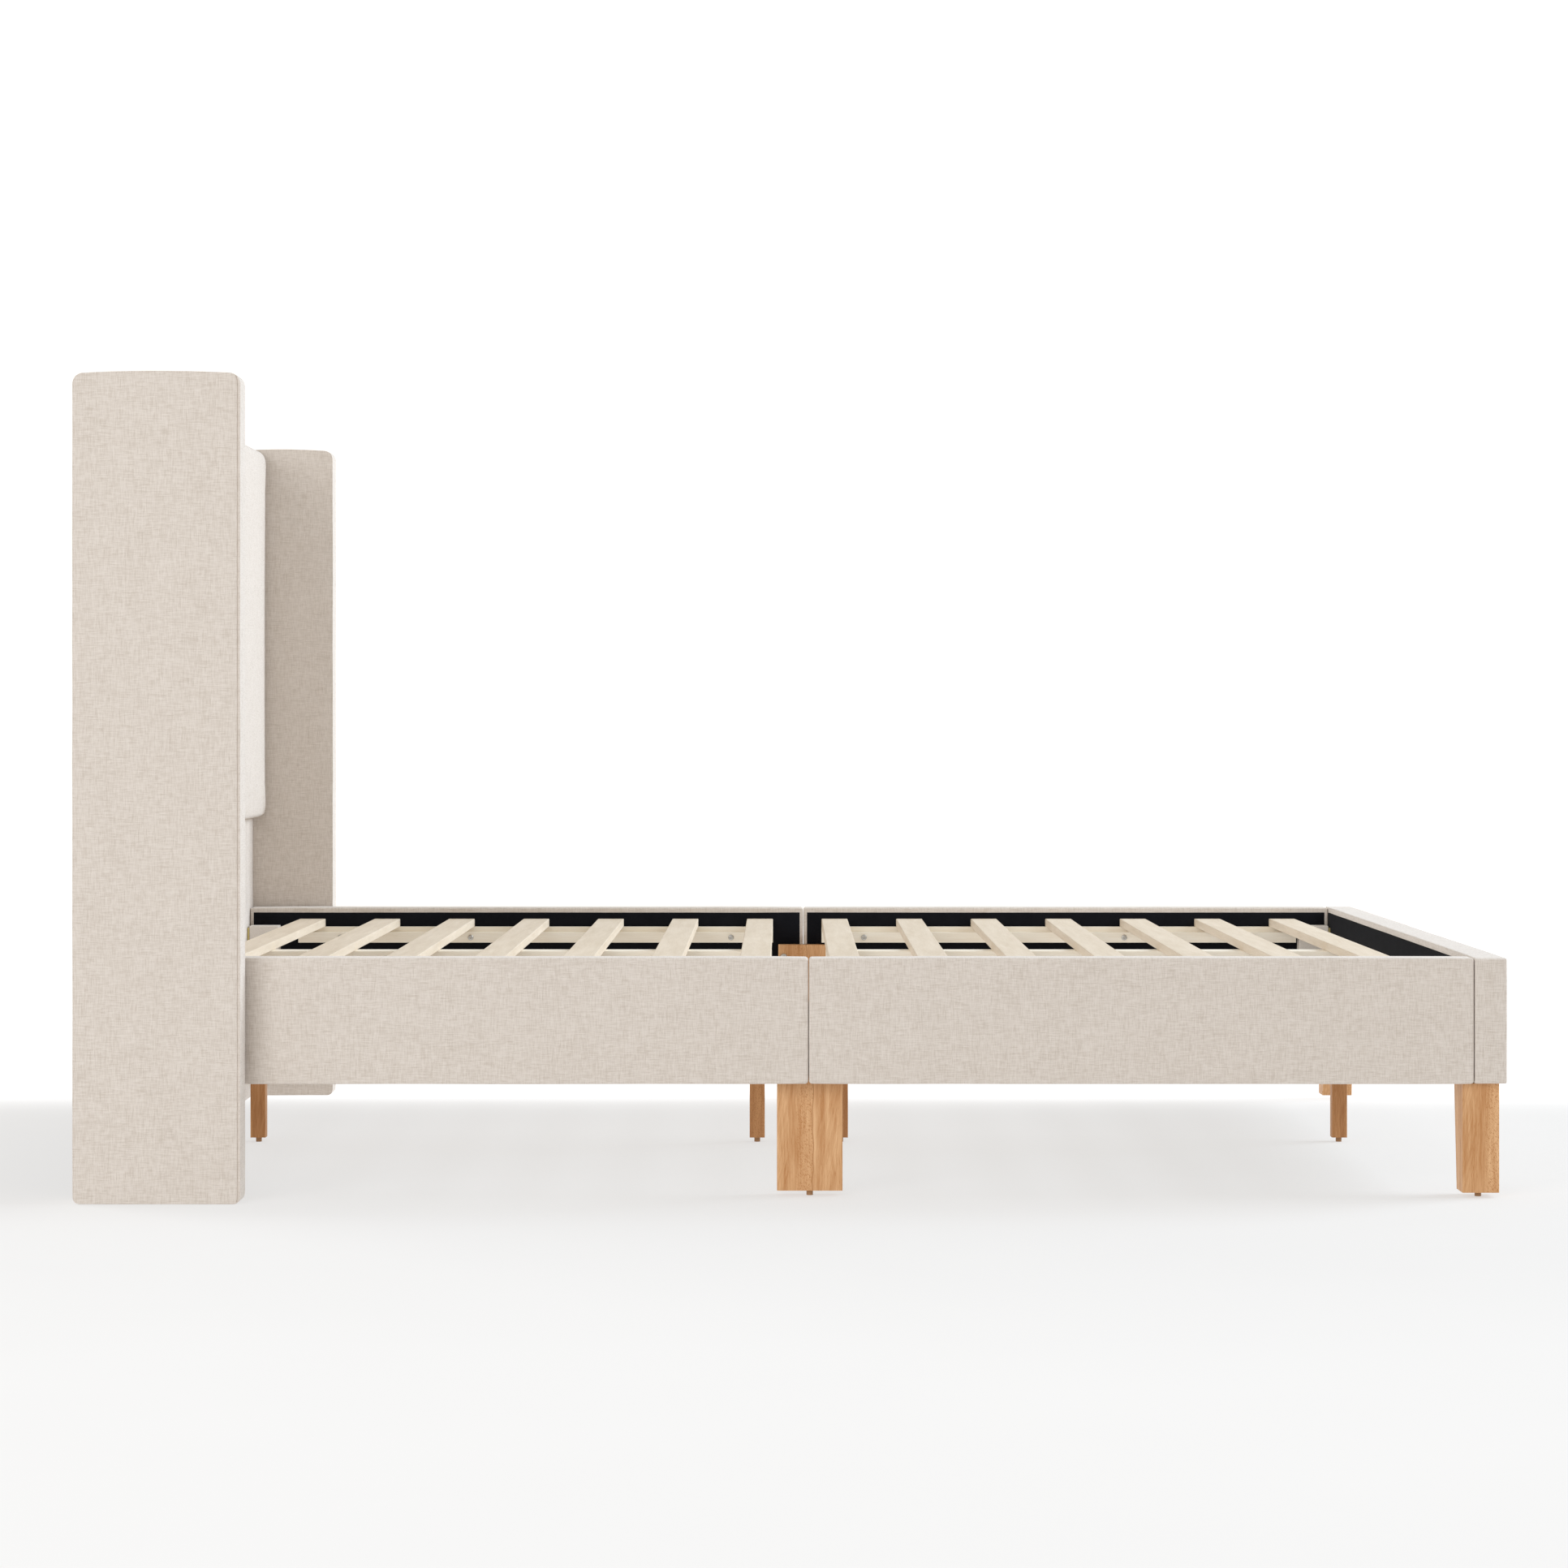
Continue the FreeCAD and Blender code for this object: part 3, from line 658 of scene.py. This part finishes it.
def make_headboard_panel(material):
    low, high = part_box("headboard_cover")
    seams = []
    for y in (-PANEL_SEAM, PANEL_SEAM):
        seams += [y + offset * MM for offset in PANEL_SEAM_LINES]
    panel = Upholstery(low, high, EDGE, extra=((), seams, ()))
    panel.swell(0, PANEL_SWELL, power=8)
    for y in (-PANEL_SEAM, PANEL_SEAM):
        for offset in PANEL_GROOVES:
            panel.line_seam(0, 1, y + offset, PANEL_GROOVE_DEPTH, sign=1)
    panel.uneven(0.4 * MM, 8.0, 3)
    piece = panel.build("headboard_panel_upholstery", material)
    upholstered(piece, 0.9, "headboard_cover", "headboard_foam")


def make_pad(material):
    """The thick pad on the headboard: a rounded block, swollen evenly by the capped cloth simulation."""
    low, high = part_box("headboard_pad_cover")
    start_low = (low.x, low.y + PAD_SIDE_GAP, low.z + PAD_SLACK)
    start_high = (high.x - PAD_SLACK, high.y - PAD_SIDE_GAP, high.z - PAD_SLACK)
    front, top, bottom = start_high[0], start_high[2], start_low[2]
    extra = (
        corner_lines(front, PAD_TOP_CORNER, 1) + corner_lines(front, PAD_BOTTOM_CORNER, 1),
        (),
        corner_lines(top, PAD_TOP_CORNER, 1) + corner_lines(bottom, PAD_BOTTOM_CORNER, -1),
    )
    pad = Upholstery(start_low, start_high, EDGE, step=PAD_STEP, extra=extra)
    rounded_corner(pad.points, (0, 2), (front, top), PAD_TOP_CORNER, (1, 1))
    rounded_corner(pad.points, (0, 2), (front, bottom), PAD_BOTTOM_CORNER, (1, -1))
    piece = pad.build("headboard_pad_upholstery", material)
    simulated(piece, PAD_SLACK, lambda point: point[0] < low.x + PAD_HELD_DEPTH)
    upholstered(piece, 0.8, "headboard_pad_cover", "headboard_pad_foam")


def make_board(name, node, material, seed, long_axis, gaps=(0.0, 0.0)):
    """A rail half or the footboard: a firm board in thin foam, rounded at the corners of its outer face."""
    low, high = (list(corner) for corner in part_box(node))
    low[long_axis] += gaps[0]
    high[long_axis] -= gaps[1]
    extra = [(), (), ()]
    for axis in (long_axis, 2):
        extra[axis] = corner_lines(low[axis], BOARD_CORNER, -1) + corner_lines(high[axis], BOARD_CORNER, 1)
    board = Upholstery(low, high, BOARD_EDGE, step=BOARD_STEP, extra=extra)
    for axis in range(3):
        board.swell(axis, BOARD_SWELL if axis != long_axis else BOARD_END_SWELL, power=10)
    board.uneven(0.35 * MM, 7.0, seed)
    for sign_along, along in ((-1, low[long_axis]), (1, high[long_axis])):
        for sign_z, z in ((-1, low[2]), (1, high[2])):
            rounded_corner(board.points, (long_axis, 2), (along, z), BOARD_CORNER, (sign_along, sign_z))
    piece = board.build(name, material)
    upholstered(piece, 0.95, node, "frame_foam_sheets")


# ---------------------------------------------------------------- linings

def separate_solids(node):
    """The points of each separate solid in a CAD node, in a fixed order."""
    source = frame["nodes"][node]
    welded = {}
    places = []
    for vertex in source.data.vertices:
        place = source.matrix_world @ vertex.co
        spot = tuple(round(part / WELD) for part in place)
        places.append((tuple(place), welded.setdefault(spot, len(welded))))
    owner = list(range(len(welded)))

    def root(index):
        while owner[index] != index:
            index = owner[index]
        return index

    for edge in source.data.edges:
        first, second = (root(places[end][1]) for end in edge.vertices)
        owner[max(first, second)] = min(first, second)
    solids = {}
    for place, index in places:
        solids.setdefault(root(index), []).append(place)
    clouds = [np.array(points) for points in solids.values()]
    return sorted(clouds, key=lambda points: tuple(points.mean(axis=0).round(4)))


def make_lining(name, node, low, high, face_axis, sign, material, seed):
    """A thin sheet stapled flat over a face, with a little slack and its edges turned back to the face."""
    flat_axes = [a for a in range(3) if a != face_axis]
    lines = []
    for a in flat_axes:
        count = max(4, round((high[a] - low[a]) / LINING_STEP))
        even = [low[a] + (high[a] - low[a]) * i / count for i in range(count + 1)]
        lines.append([even[0], even[0] + LINING_FOLD] + even[1:-1] + [even[-1] - LINING_FOLD, even[-1]])
    outer = high[face_axis] if sign > 0 else low[face_axis]
    rows, columns = len(lines[0]), len(lines[1])
    vertices = []
    for i, u in enumerate(lines[0]):
        for j, v in enumerate(lines[1]):
            point = [0.0, 0.0, 0.0]
            point[flat_axes[0]], point[flat_axes[1]] = u, v
            at_edge = i in (0, rows - 1) or j in (0, columns - 1)
            slack = noise.noise(Vector((u * LINING_RIPPLE, v * LINING_RIPPLE, seed * 3.7))) * LINING_SLACK
            point[face_axis] = outer - sign * (LINING_TURN if at_edge else LINING_SLACK + slack)
            vertices.append(point)
    faces = []
    for i in range(rows - 1):
        for j in range(columns - 1):
            near_corner, far_corner = i * columns + j, (i + 1) * columns + j
            faces.append([near_corner, far_corner, far_corner + 1, near_corner + 1])
    first, second, third = (Vector(vertices[i]) for i in faces[len(faces) // 2][:3])
    if (second - first).cross(third - first)[face_axis] * sign < 0:
        faces = [quad[::-1] for quad in faces]
    piece = mesh_object(name, vertices, faces, material)
    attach(piece, BODY)
    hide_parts(node)


def make_linings(material):
    node = "frame_inner_linings"
    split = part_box("rail_left_head_cover")[1].x
    for seed, points in enumerate(separate_solids(node)):
        low, high = points.min(axis=0), points.max(axis=0)
        middle = (low + high) / 2
        if high[0] - low[0] < high[1] - low[1]:
            make_lining("footboard_lining", node, low, high, 0, -1, material, seed)
            continue
        side = "left" if middle[1] > 0 else "right"
        half = "head" if middle[0] < split else "foot"
        inward = -1 if middle[1] > 0 else 1
        rail = f"rail_{side}_{half}"
        make_lining(f"{rail}_lining", node, low, high, 1, inward, material, seed)
    node = "headboard_back_lining"
    low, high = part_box(node)
    make_lining("headboard_back_cloth", node, low, high, 0, -1, material, 9)


# ---------------------------------------------------------------- bolts and screws

def hexagon(angle, flat_radius):
    return flat_radius / math.cos((angle % math.radians(60)) - math.radians(30))


def turned_bolt(points, sink):
    """The rings of one bolt: its hexagon socket, its domed head, and its shank down to a chamfered tip."""
    size = points.max(axis=0) - points.min(axis=0)
    axis = int(np.argmax(size))
    middle = (points.max(axis=0) + points.min(axis=0)) / 2
    others = [a for a in range(3) if a != axis]
    radial = np.hypot(*(points[:, a] - middle[a] for a in others))
    head_radius = radial.max()
    in_head = points[radial > head_radius - 0.05 * MM, axis]
    way = 1 if in_head.mean() > middle[axis] else -1
    top = (in_head.max() if way > 0 else in_head.min()) - way * sink
    height = max(abs(in_head.max() - in_head.min()), SHORTEST_HEAD)
    tip = points[:, axis].min() if way > 0 else points[:, axis].max()
    shank = min(radial[np.abs(points[:, axis] - tip) < 0.1 * MM].max(), 0.7 * head_radius)
    length = abs(top - tip)
    socket = SOCKET_SHARE * head_radius
    profile = [(socket * 0.98, 0.62 * height, True), (socket, 0.04 * height, True)]
    profile += [(across * head_radius, down * height, False) for across, down in HEAD_DOME]
    profile += [(shank, height, False), (shank, length - shank, False), (0.6 * shank, length, False)]
    rings = []
    for radius, depth, six_sided in profile:
        for step in range(BOLT_SIDES):
            angle = 2 * math.pi * step / BOLT_SIDES
            reach = hexagon(angle, radius) if six_sided else radius
            point = [0.0, 0.0, 0.0]
            point[axis] = top - way * depth
            point[others[0]] = middle[others[0]] + reach * math.cos(angle)
            point[others[1]] = middle[others[1]] + reach * math.sin(angle)
            rings.append(point)
    turning = way if (others[1] - others[0]) % 3 == 1 else -way
    return rings, len(profile), turning


def make_bolts(name, node, material, sink=0.0):
    """All the bolts or screws of one CAD node, each with a domed head, a socket and a shank."""
    vertices, faces = [], []
    for points in separate_solids(node):
        rings, count, turning = turned_bolt(points, sink)
        base = len(vertices)
        vertices += rings
        quads = []
        for ring in range(count - 1):
            for step in range(BOLT_SIDES):
                following = (step + 1) % BOLT_SIDES
                inner, outer = base + ring * BOLT_SIDES, base + (ring + 1) * BOLT_SIDES
                quads.append([inner + step, outer + step, outer + following, inner + following])
        quads.append([base + step for step in range(BOLT_SIDES)])
        quads.append([base + (count - 1) * BOLT_SIDES + step for step in reversed(range(BOLT_SIDES))])
        faces += quads if turning > 0 else [quad[::-1] for quad in quads]
    piece = mesh_object(name, vertices, faces, material)
    piece.data.shade_flat()
    for face in piece.data.polygons:
        face.use_smooth = len(face.vertices) == 4
    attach(piece, BODY)
    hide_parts(node)


# ---------------------------------------------------------------- main

def make_materials():
    """The part's materials by slot, with the timbers that share a slot under their own names, and a darker
    copy of the leg timber that paints the shade under the bed onto the centre legs.
    """
    return {
        "linen": linen("linen_beige", (0.72, 0.655, 0.595), (0.57, 0.50, 0.435)),
        "leg_wood": wood(
            "leg_timber", (0.77, 0.47, 0.245), (0.48, 0.215, 0.073), 2, figure=1.3, vein=0.85, fleck=0.26,
        ),
        # Painted shade: a darker, more saturated copy of the leg timber for the centre legs, standing in for
        # the shade under the bed.
        "centre_leg": wood(
            "centre_leg_painted_shade_timber", (0.60, 0.31, 0.132), (0.385, 0.16, 0.053), 2, figure=1.3, fleck=0.2,
        ),
        "slat": wood("slat_timber", (0.82, 0.71, 0.575), (0.67, 0.555, 0.415), 1),
        "ledger": wood("ledger_timber", (0.92, 0.86, 0.75), (0.82, 0.73, 0.59), 0),
        "black_lining": non_woven("black_lining"),
        "yellow_zinc": metal("yellow_zinc", (0.72, 0.60, 0.26), (0.52, 0.42, 0.18), 0.35),
        "steel": metal("zinc_steel", (0.62, 0.60, 0.56), (0.46, 0.45, 0.43), 0.38),
        "board": plain_grain("board", (0.62, 0.50, 0.36), (0.48, 0.36, 0.24), 400.0, 0.85),
        "foam": plain_grain("foam", (0.86, 0.82, 0.68), (0.78, 0.73, 0.58), 700.0, 0.95),
        "block_wrap": plain_grain("block_wrap", (0.78, 0.72, 0.655), (0.685, 0.625, 0.56), 500.0, 0.8),
        "glide_plastic": plain_grain("glide_plastic", (0.42, 0.24, 0.12), (0.32, 0.18, 0.09), 900.0, 0.55),
    }


def colour_nodes(materials):
    """Gives every CAD node its material."""
    for entry in frame["record"]["subparts"]:
        name = entry["node"]
        key = entry["material_slot"]
        # The centre legs get the darker copy of the leg timber, which paints the shade under the bed onto
        # them.
        if name.startswith("centre_legs"):
            key = "centre_leg"
        elif key not in materials:
            key = "slat" if name.startswith("slat_") and name != "slat_battens" else "ledger"
        for place in frame["nodes"][name].material_slots:
            place.material = materials[key]


def make_floor():
    corners = [
        (-FLOOR_HALF_WIDTH, FLOOR_NEAR, 0), (FLOOR_HALF_WIDTH, FLOOR_NEAR, 0),
        (FLOOR_HALF_WIDTH, FLOOR_FAR, 0), (-FLOOR_HALF_WIDTH, FLOOR_FAR, 0),
    ]
    floor = mesh_object("floor", corners, [(0, 1, 2, 3)], studio_floor("studio_floor"), smooth=False)


def make_upholstery(material):
    for seed, side in enumerate(("left", "right"), 1):
        make_wing(side, material, seed)
    make_headboard_panel(material)
    make_pad(material)
    seed = FIRST_RAIL_SEED
    for side in ("left", "right"):
        for half in ("head", "foot"):
            gaps = (0.0, SPLIT_GAP) if half == "head" else (SPLIT_GAP, SPLIT_GAP)
            make_board(f"rail_{side}_{half}_upholstery", f"rail_{side}_{half}_cover", material, seed, 0, gaps)
            seed += 1
    make_board("footboard_upholstery", "footboard_cover", material, FOOTBOARD_SEED, 1)


def main():
    bpy.context.scene.view_settings.view_transform = "Standard"
    make_camera()
    make_sky()
    for light in LIGHTS:
        area_light(*light)

    materials = make_materials()
    colour_nodes(materials)
    make_upholstery(materials["linen"])
    make_linings(materials["black_lining"])
    steel = materials["steel"]
    make_bolts("ledger_bolt_set", "ledger_bolts", steel)
    make_bolts("frame_bolt_set", "frame_bolts", steel)
    make_bolts("slat_screw_set", "slat_screws", steel, sink=SCREW_SINK)
    make_floor()


main()
